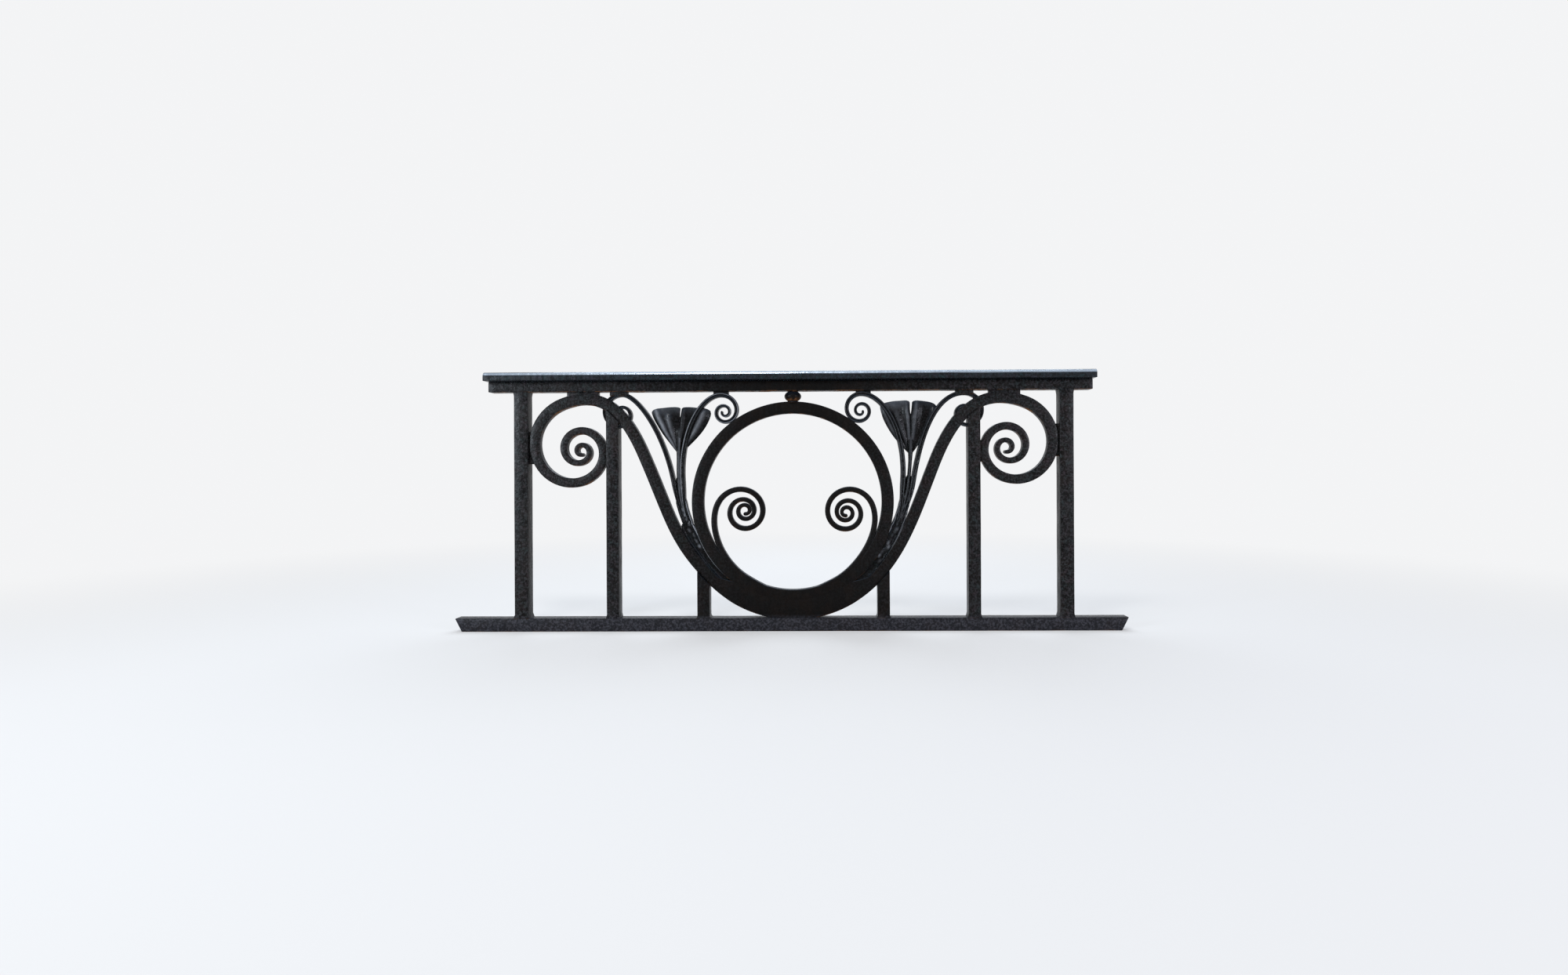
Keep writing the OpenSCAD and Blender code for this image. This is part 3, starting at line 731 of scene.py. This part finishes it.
def bead(stalk, path, side):
    """Breaks the face of a bundle into the knobs of a seed head, no two of them alike, and paints
    highlights on the knobs and on its rims.
    """
    crest = stalk.data.attributes["crest"].data
    find = beside_path(path, side)
    dice = random.Random(11 if side < 0 else 23)
    knobs = []
    along = 2.0
    while along < hand((116, 140), side):
        # along the path, across it, long, wide, how high, and how bright its painted highlight is
        knobs.append((along, hand((0.06, 0.0), side) + dice.uniform(-0.13, 0.13),
                      dice.uniform(3.6, 5.6), dice.uniform(0.13, 0.2), dice.uniform(0.5, 1.0),
                      dice.choice(hand(((0.15, 0.25, 0.4, 0.55), (0.05, 0.1, 0.15, 0.28)), side))))
        along += dice.uniform(*hand(((7.0, 10.5), (4.5, 7.5)), side))
    for i, v in enumerate(stalk.data.vertices):
        _, gone, across = find(v.co)
        if abs(v.co.y) < 0.003:
            continue
        if abs(across) > 0.3:
            # a thin painted highlight lies along the rim beside the ring, and on the right one
            # along the rim beside the scroll too
            inward = across * -side > 0
            lit = hand((0.95, 0.4), side) if inward else hand((0.0, 0.35), side)
            start = min(1, max(0, (gone - 26) / 10))
            crest[i].value = lit * start * max(0.0, 1 - (abs(abs(across) - 0.42) / 0.045) ** 2)
            continue
        high = shine = 0.0
        for at, beside, long, wide, up, bright in knobs:
            near = ((gone - at) / long) ** 2 + ((across - beside) / wide) ** 2
            if near < 1:
                high = max(high, up * (1 - near) ** 0.5)
                shine = max(shine, bright * (1 - near) ** 2.4)
        sunk = 2.2 * (1 - high) * (1 - (across / 0.3) ** 2)
        v.co.y -= math.copysign(sunk / 1000, v.co.y)
        crest[i].value = shine


# flutes of each lobe: where across the lobe at its rim, how high, how wide, how far up
# they run, and how bright the painted highlight on them is
FLUTES = {
    ("left", "outer"): ((0.77, 4.6, 0.2, 1.1, 0.62), (0.5, 3.8, 0.2, 0.75, 0.3),
                        (0.06, 2.6, 0.25, 0.45, 0.12)),
    ("left", "inner"): ((0.72, 4.4, 0.24, 0.95, 0.32), (0.16, 2.8, 0.2, 1.1, 0.06)),
    ("right", "outer"): ((0.26, 4.4, 0.3, 0.95, 0.2), (0.9, 3.0, 0.16, 0.9, 0.1)),
    ("right", "inner"): ((0.22, 4.6, 0.16, 1.1, 0.24), (0.52, 2.8, 0.16, 0.9, 0.1),
                         (0.85, 3.4, 0.2, 0.9, 0.14)),
}


def on_line(points, share):
    """The point that lies a share of the way through a list of points."""
    k = share * (len(points) - 1)
    i = min(int(k), len(points) - 2)
    return Vector(points[i][:2]).lerp(Vector(points[i + 1][:2]), k - i)


def petal(word, side, lobe):
    """One lobe of a flower: a fan of flutes from the root to a rolled rim."""
    way = 1 if lobe == "outer" else -1
    tall = flower_tall(side)
    wide = hand((41.5, 38.8), side) if way > 0 else hand((46.5, 44.6), side)
    base = flower_root(side)
    heel = 2.5
    edge0, edge1 = hand(((43, 82), (52, 66)), way)
    shoulder = (wide, 0.86 * tall)
    crown = (0.5 * wide, 0.98 * tall)
    shift = hand((-2.6, 1.4), side)
    slit_foot = tall - hand((19, 23), side)
    edge = bend((heel, 0), edge0, shoulder, edge1, (0.35, 0.3), 1, 1, 40)
    rim = (bend((way * shift, tall - 2.5), 60, crown, -6, (0.12, 0.45), 1, 1, 20)
           + bend(crown, -6, shoulder, -82, (0.5, 0.3), 1, 1, 20)[1:])
    lay_down()
    bpy.ops.mesh.primitive_grid_add(x_subdivisions=46, y_subdivisions=32, size=1)
    piece = bpy.context.object
    piece.name = word + "_" + lobe + "_petal"
    painted_highlights = []
    for v in piece.data.vertices:
        # the lobe's points lie on straight rays from its root to its rim, pushed out by
        # the curve of its side: t goes across the lobe and s up it
        t, s = v.co.x + 0.5, v.co.y + 0.5
        p = Vector((heel * t, 0)).lerp(on_line(rim, t), s)
        p += (on_line(edge, s) - Vector((heel, 0)).lerp(Vector(shoulder), s)) * t * t
        if p.y > slit_foot:
            open_by = hand((2.2, 3.4), side) * math.sqrt((p.y - slit_foot) / (tall - slit_foot))
            p.x += open_by * (1 - t) ** 3
        out = shine = 0.0
        # each flute raises the lobe and carries a painted highlight on its crest
        for where, high, spread, up, painted_highlight in FLUTES[(word, lobe)]:
            crest = max(0.0, 1 - abs(t - where) / spread)
            ends = min(1, max(0, up + 0.12 - s) / 0.12)
            out = max(out, high * crest ** 1.25 * ends)
            shine = max(shine, painted_highlight * crest ** 4 * ends)
        # the rim rolls back, so that it looks up to the sky
        lip = max(0.0, (s - 0.8) / 0.2)
        hem = max(0.0, (t - 0.92) / 0.08)
        full = min(1.0, s * 2.0) ** 1.2
        y = 2.6 - out * full * (1 - 0.5 * lip ** 2) + 2.4 * lip ** 2 - hem ** 2 * full
        y -= 1.4 * math.sin(math.pi * s)
        # painted sky reflection on the rolled rim, stronger away from the slit
        bright = hand((0.12, 0.5), side) if way < 0 else hand((0.22, 0.06), side)
        bright *= lip * (0.3 + 0.7 * t)
        painted_highlights.append(min(1.0, max(shine * (0.5 + 0.5 * full), bright)))
        x, z = place(base.x + way * p.x, base.y + p.y, side)
        v.co = (x, y / 1000, z)
    mark(piece, painted_highlights)
    face_outwards(piece)
    wall = piece.modifiers.new("petal wall", "SOLIDIFY")
    wall.thickness, wall.offset = 0.0036, 0.0
    rounding = piece.modifiers.new("cast edge", "SUBSURF")
    rounding.levels = rounding.render_levels = 1
    apply_all(piece)
    face_outwards(piece)
    bpy.ops.object.shade_smooth()
    finish(piece, word + "_flower", "flower_iron", 0.25, 16)


def make_flowers():
    for word, side in SIDES:
        for lobe in ("outer", "inner"):
            petal(word, side, lobe)


# ---------------------------------------------------------------- lugs
def lug(node, u, z, wide, high, side, back):
    """A small cast block between a curve and a bar, its ends drawn into both."""
    u0, u1 = sorted((side * (u - wide / 2), side * (u + wide / 2)))
    piece = bar(node + "_casting", u0, u1, z - high / 2, z + high / 2, SCROLL_DEEP - back, 1.2)
    soften(piece)
    finish(piece, node, "panel_iron", 0.12, 12)


def make_lugs():
    for word, side in SIDES:
        eye, inner, outer = volute(side).eye, inner_curl(side).eye, outer_curl().eye
        for part, u, z, wide, high, back in (
                ("_end_post_lug", END_IN - 4.2, eye.y + hand((6, 11.5), side), 10.5, 48, 5.0),
                ("_middle_post_lug", MID_OUT + 2.4, eye.y - 4.2, 7.0, 32, 0.7),
                ("_scroll_top_lug", eye.x - 1, CLEAR - 5.2, 46, 12.4, 0.7),
                ("_inner_tendril_lug", inner.x + hand((6, 4), side), CLEAR - 2.6, 22, 7.2, 0.7),
                ("_outer_tendril_lug", outer.x + hand((1.5, -3), side), CLEAR - 2.6, 26, 7.2,
                 0.7)):
            lug(word + part, u, z, wide, high, side, back)


make_rails()
make_posts()
make_scrolls()
make_boss()
make_tendrils()
make_flowers()
make_lugs()


# ---------------------------------------------------------------- finishes
def add(tree, kind, at, **values):
    node = tree.nodes.new(kind)
    node.location = at
    for key, value in values.items():
        setattr(node, key, value)
    return node


def feed(tree, socket, value):
    """Links a socket to another node, or sets its number or its colour."""
    if isinstance(value, bpy.types.NodeSocket):
        tree.links.new(value, socket)
    else:
        socket.default_value = (*value, 1.0) if isinstance(value, tuple) else value


def maths(tree, operation, at, *values):
    node = add(tree, "ShaderNodeMath", at, operation=operation)
    for socket, value in zip(node.inputs, values):
        feed(tree, socket, value)
    return node.outputs["Value"]


def map_range(tree, value, at, low, high, to_low=0.0, to_high=1.0, kind="LINEAR"):
    node = add(tree, "ShaderNodeMapRange", at, interpolation_type=kind)
    for name, number in (("Value", value), ("From Min", low), ("From Max", high),
                         ("To Min", to_low), ("To Max", to_high)):
        feed(tree, node.inputs[name], number)
    return node.outputs["Result"]


def cloud(tree, where, at, scale, detail, rough=0.5):
    node = add(tree, "ShaderNodeTexNoise", at)
    for name, number in (("Vector", where), ("Scale", scale), ("Detail", detail),
                         ("Roughness", rough)):
        feed(tree, node.inputs[name], number)
    return node.outputs["Fac"]


def mix(tree, factor, a, b, at):
    node = add(tree, "ShaderNodeMix", at, data_type="RGBA")
    for name, value in (("Factor", factor), ("A", a), ("B", b)):
        feed(tree, node.inputs[name], value)
    return node.outputs["Result"]


def apart(tree, vector, at):
    """The X, Y and Z of a vector."""
    node = add(tree, "ShaderNodeSeparateXYZ", at)
    tree.links.new(vector, node.inputs["Vector"])
    return node.outputs


def masks(name, outputs):
    """A new group of nodes that gives the values named."""
    group = bpy.data.node_groups.new(name, "ShaderNodeTree")
    for output in outputs:
        group.interface.new_socket(output, in_out="OUTPUT", socket_type="NodeSocketFloat")
    return group, add(group, "NodeGroupOutput", (900, 0)).inputs


def cast_surface():
    """Cast iron under paint: slow lumps, grains of sand and the runs of the brush."""
    group, leave = masks("cast surface", ("Height", "Blotches", "Runs", "Tint", "Flecks"))
    where = add(group, "ShaderNodeTexCoord", (-900, -300)).outputs["Object"]
    # the brush went up and down
    stretch = add(group, "ShaderNodeMapping", (-700, -300))
    stretch.inputs["Scale"].default_value = (1.0, 1.0, 0.22)
    group.links.new(where, stretch.inputs["Vector"])
    lumps = cloud(group, where, (-500, 300), 130, 3, 0.55)
    sand = cloud(group, where, (-500, 0), 620, 4, 0.6)
    runs = cloud(group, stretch.outputs["Vector"], (-500, -300), 260, 3)
    blotches = cloud(group, where, (-500, -600), 60, 7, 0.75)
    tint = cloud(group, where, (-500, -900), 105, 3)
    flecks = cloud(group, where, (-500, -1200), 330, 2, 0.7)
    height = maths(group, "MULTIPLY_ADD", (0, 100), sand, 0.16, lumps)
    height = maths(group, "MULTIPLY_ADD", (300, 100), runs, 0.2, height)
    group.links.new(height, leave["Height"])
    for name, value, low, high, down in (("Runs", runs, 0.4, 0.7, -300),
                                         ("Blotches", blotches, 0.38, 0.66, -600),
                                         ("Tint", tint, 0.36, 0.64, -900),
                                         ("Flecks", flecks, 0.44, 0.64, -1200)):
        group.links.new(map_range(group, value, (0, down), low, high), leave[name])
    return group


def weather_and_painted_light():
    """Masks by the way that a face looks and by its place on the panel: the upper faces, for a
    painted sky reflection; the upward edges that hands polish; browner patches on the
    undersides; the bottom rail; and the ends of the panel, painted lighter than its middle as if
    lit from the sides."""
    group, leave = masks("weather_and_painted_light", ("Upward", "Underside patches", "Low", "Edges", "Ends"))
    shape = add(group, "ShaderNodeNewGeometry", (-900, 0))
    up = apart(group, shape.outputs["Normal"], (-700, 0))["Z"]
    where = add(group, "ShaderNodeTexCoord", (-900, -300)).outputs["Object"]
    middle, rail_top = place(0, 0)
    x, _, z = apart(group, where, (-700, -600))

    # the upper faces, for a painted sky reflection, and the edges that look up, but not straight
    # up
    group.links.new(map_range(group, up, (-200, 200), 0.15, 0.85), leave["Upward"])
    rise = map_range(group, up, (-200, 700), 0.18, 0.42)
    flat = map_range(group, up, (-200, 500), 0.68, 0.86, 1.0, 0.04)
    group.links.new(maths(group, "MULTIPLY", (100, 600), rise, flat), leave["Edges"])
    # the bottom rail, and the parts far from the middle of the panel, which are painted lighter as
    # if lit from the sides
    low = map_range(group, z, (-200, -600), rail_top + 0.00475, rail_top - 0.00325)
    group.links.new(low, leave["Low"])
    aside = maths(group, "SUBTRACT", (-500, -900), x, middle)
    away = maths(group, "ABSOLUTE", (-300, -900), aside)
    ends = map_range(group, away, (-100, -900), 0.04, 0.3, to_low=0.08, kind="SMOOTHSTEP")
    group.links.new(ends, leave["Ends"])
    # browner, matter patches on the undersides
    under = map_range(group, up, (-200, 0), -0.2, -0.8)
    downward = maths(group, "MULTIPLY_ADD", (100, -200), under, 0.85, 0.012)
    patches = cloud(group, where, (-500, -300), 55, 6, 0.7)
    in_patches = map_range(group, patches, (-200, -300), 0.46, 0.62)
    group.links.new(maths(group, "MULTIPLY", (300, -200), downward, in_patches), leave["Underside patches"])
    return group


SURFACE = cast_surface()
WEATHER_AND_LIGHT = weather_and_painted_light()
# the brown of the patches on the undersides
UNDERSIDE_BROWN = (0.17, 0.075, 0.03)
BARE_IRON = (0.38, 0.45, 0.54)


def iron_paint(name, paint, faded, tints, sky, crest, level, depth, gloss,
               painted_middle_shade=None, dust=None, brown_undersides=False, rubbed=False):
    """Near black oil paint on cast iron: faded and flecked, with painted highlights where a piece
    is marked, a painted sky reflection on its upper faces, and, where asked, painted shade round
    the middle of the panel. rubbed says that hands have polished its upper edges to bare iron."""
    material = bpy.data.materials.new(name)
    material.use_nodes = True
    tree = material.node_tree
    shader = tree.nodes["Principled BSDF"]
    shader.location = (1100, 0)
    tree.nodes["Material Output"].location = (1400, 0)
    surface = add(tree, "ShaderNodeGroup", (-900, 0), node_tree=SURFACE).outputs
    weather_and_light = add(tree, "ShaderNodeGroup", (-900, -400), node_tree=WEATHER_AND_LIGHT).outputs
    tone = mix(tree, surface["Blotches"], paint, faded, (-500, 300))
    tinted = mix(tree, surface["Tint"], *tints, (-500, 0))
    colour = mix(tree, surface["Flecks"], tone, tinted, (-300, 200))
    if painted_middle_shade:
        # painted shade: the colour is darker round the middle of the panel and lighter towards its
        # ends, as if lit from the sides
        colour = mix(tree, weather_and_light["Ends"], painted_middle_shade, colour, (-200, 300))
    # painted sky reflection: the upper faces take a pale blue colour
    colour = mix(tree, weather_and_light["Upward"], colour, sky, (-100, 200))
    if dust:
        dusty = mix(tree, surface["Flecks"], *dust, (-300, 500))
        colour = mix(tree, weather_and_light["Low"], colour, dusty, (0, 400))
    # painted highlights: where a piece's points are marked, the colour is lightened in patches
    # towards the crest colour
    painted_highlight = add(tree, "ShaderNodeAttribute", (-300, -200), attribute_name="crest")
    patchy = map_range(tree, surface["Blotches"], (-300, -400), 0, 1, to_low=0.55)
    highlight_share = maths(tree, "MULTIPLY", (-100, -100), painted_highlight.outputs["Fac"], patchy)
    colour = mix(tree, highlight_share, colour, crest, (300, 200))
    dull = map_range(tree, surface["Runs"], (300, -100), 0, 1, gloss - 0.08, gloss + 0.14)
    if brown_undersides:
        colour = mix(tree, weather_and_light["Underside patches"], colour, UNDERSIDE_BROWN, (500, 200))
        dull = maths(tree, "MAXIMUM", (500, -100), weather_and_light["Underside patches"], dull)
    if rubbed:
        touched = map_range(tree, surface["Blotches"], (-100, 700), 0, 1, to_low=0.8)
        bare = maths(tree, "MULTIPLY", (100, 600), weather_and_light["Edges"], touched)
        colour = mix(tree, bare, colour, BARE_IRON, (700, 300))
        tree.links.new(bare, shader.inputs["Metallic"])
    tree.links.new(colour, shader.inputs["Base Color"])
    tree.links.new(dull, shader.inputs["Roughness"])
    bump = add(tree, "ShaderNodeBump", (800, -300))
    bump.inputs["Strength"].default_value = depth
    bump.inputs["Distance"].default_value = 0.001
    tree.links.new(surface["Height"], bump.inputs["Height"])
    tree.links.new(bump.outputs["Normal"], shader.inputs["Normal"])
    shader.inputs["Specular IOR Level"].default_value = level
    return material


# in each finish, crest is the colour of the painted highlights and sky the colour of the painted
# sky reflection
FINISHES = {
    "panel_iron": iron_paint(
        "panel iron", paint=(0.0014, 0.0013, 0.0013), faded=(0.0098, 0.0090, 0.0088),
        tints=((0.0270, 0.0215, 0.0240), (0.0200, 0.0250, 0.0255)),
        sky=(0.008, 0.012, 0.018), crest=(0.32, 0.33, 0.35), level=0.07, depth=0.6,
        gloss=0.34, painted_middle_shade=(0.0019, 0.0015, 0.0013),
        dust=((0.0105, 0.0105, 0.0125), (0.036, 0.0355, 0.042)), brown_undersides=True),
    "flower_iron": iron_paint(
        "flower iron", paint=(0.0004, 0.0004, 0.0004), faded=(0.0038, 0.0034, 0.0033),
        tints=((0.0105, 0.0078, 0.0088), (0.0065, 0.0088, 0.0088)),
        sky=(0.024, 0.031, 0.041), crest=(0.36, 0.375, 0.405), level=0.055, depth=0.6,
        gloss=0.2),
    "handrail_iron": iron_paint(
        "handrail iron", paint=(0.0014, 0.0018, 0.0024), faded=(0.0075, 0.0095, 0.0118),
        tints=((0.016, 0.0145, 0.022), (0.009, 0.019, 0.022)),
        sky=(0.03, 0.04, 0.05), crest=(0.05, 0.05, 0.05), level=0.15, depth=0.2,
        gloss=0.24, rubbed=True),
}
for piece, slot in pieces:
    piece.data.materials.clear()
    piece.data.materials.append(FINISHES[slot])


# ---------------------------------------------------------------- studio
BACKDROP = (0.9, 0.905, 0.915)
FLOOR_MIDDLE = (0.45, 0.0, place(0, -BOTTOM_RAIL)[1])


def glow(tree, kind, at, colour, strength):
    node = add(tree, kind, at)
    feed(tree, node.inputs["Color"], colour)
    feed(tree, node.inputs["Strength"], strength)
    return node.outputs[0]


def blend(tree, share, first, second):
    """Two shaders in one: a share of 0 is all the first, and of 1 all the second."""
    node = add(tree, "ShaderNodeMixShader", (300, 0))
    for socket, value in zip(node.inputs, (share, first, second)):
        feed(tree, socket, value)
    return node.outputs["Shader"]


def rays(tree, first, *others):
    """1 for a ray of the kinds named, and 0 for any other."""
    ray = add(tree, "ShaderNodeLightPath", (-800, 300)).outputs
    seen = ray["Is %s Ray" % first]
    for k, kind in enumerate(others):
        seen = maths(tree, "MAXIMUM", (200 * k - 600, 300), seen, ray["Is %s Ray" % kind])
    return seen


def floor_finish():
    """A pale floor that runs out into the white of the studio, with no edge to it."""
    material = bpy.data.materials.new("pale floor")
    material.use_nodes = True
    tree = material.node_tree
    shader = tree.nodes["Principled BSDF"]
    shader.inputs["Base Color"].default_value = (0.62, 0.62, 0.62, 1)
    shader.inputs["Roughness"].default_value = 0.9
    shader.inputs["Specular IOR Level"].default_value = 0.0
    white = glow(tree, "ShaderNodeEmission", (0, -300), BACKDROP, 1.0)
    where = add(tree, "ShaderNodeTexCoord", (-900, 0))
    away = add(tree, "ShaderNodeVectorMath", (-700, 0), operation="DISTANCE")
    away.inputs[1].default_value = FLOOR_MIDDLE
    tree.links.new(where.outputs["Object"], away.inputs[0])
    far = map_range(tree, away.outputs["Value"], (-500, 0), 0.35, 1.9, to_low=0.35,
                    kind="SMOOTHSTEP")
    share = maths(tree, "MULTIPLY", (-200, 200), rays(tree, "Camera", "Glossy"), far)
    both = blend(tree, share, shader.outputs["BSDF"], white)
    tree.links.new(both, tree.nodes["Material Output"].inputs["Surface"])
    return material


def make_studio():
    lay_down()
    bpy.ops.mesh.primitive_plane_add(size=40, location=FLOOR_MIDDLE)
    floor = bpy.context.object
    floor.name = "pale_floor"
    settle(floor)
    floor.data.materials.append(floor_finish())

    world = bpy.data.worlds.new("plain studio")
    bpy.context.scene.world = world
    world.use_nodes = True
    tree = world.node_tree
    tree.nodes.clear()
    out = add(tree, "ShaderNodeOutputWorld", (600, 0))
    white = glow(tree, "ShaderNodeBackground", (0, 100), BACKDROP, 1.0)
    fill = glow(tree, "ShaderNodeBackground", (0, -100), (0.86, 0.9, 1.0), 0.35)
    seen = rays(tree, "Camera", "Glossy", "Transmission")
    tree.links.new(blend(tree, seen, fill, white), out.inputs["Surface"])

    for name, at, aimed, size, watts, tint in (
            ("soft sky", (0.45, 1.0, 1.35), (0.45, 0, -0.05), 2.0, 44, (0.86, 0.93, 1.0)),
            ("soft left", (-1.1, -1.5, 0.1), (0.2, 0, -0.15), 0.5, 30, (0.80, 0.90, 1.0)),
            ("soft right", (2.1, -1.4, 0.1), (0.7, 0, -0.15), 0.5, 20, (0.85, 0.87, 1.0)),
            ("soft front", (0.1, -1.0, 1.4), (0.45, 0, -0.1), 0.4, 15, (1.0, 0.98, 0.95))):
        light = bpy.data.lights.new(name, "AREA")
        light.shape, light.size, light.energy, light.color = "SQUARE", size, watts, tint
        lamp = bpy.data.objects.new(name, light)
        lamp.location = at
        lamp.visible_camera = False
        lamp.rotation_euler = (Vector(aimed) - Vector(at)).to_track_quat("-Z", "Y").to_euler()
        bpy.context.scene.collection.objects.link(lamp)


def make_camera():
    """The photograph was taken close to the panel with a wide lens, level with its middle."""
    # in pixels: the picture, the lens, and the point of the picture straight ahead of it
    wide, high, focal, across, down = 2000, 1244, 1004, 1046, 596.4
    camera = bpy.data.cameras.new("photograph")
    camera.sensor_width = 36
    camera.lens = camera.sensor_width * focal / wide
    camera.shift_x = (wide / 2 - across) / wide
    camera.shift_y = (down - high / 2) / wide
    camera.clip_start, camera.clip_end = 0.01, 100
    eye = bpy.data.objects.new("photograph", camera)
    eye.location = (0.5007, -1.160, -0.1338)
    roll, turn = math.radians(0.27), math.radians(0.69)
    eye.rotation_euler = Euler((math.radians(90), roll, turn), "YXZ")
    bpy.context.scene.collection.objects.link(eye)
    bpy.context.scene.camera = eye


make_studio()
make_camera()
bpy.context.scene.view_settings.view_transform = "Standard"

bpy.context.view_layer.update()
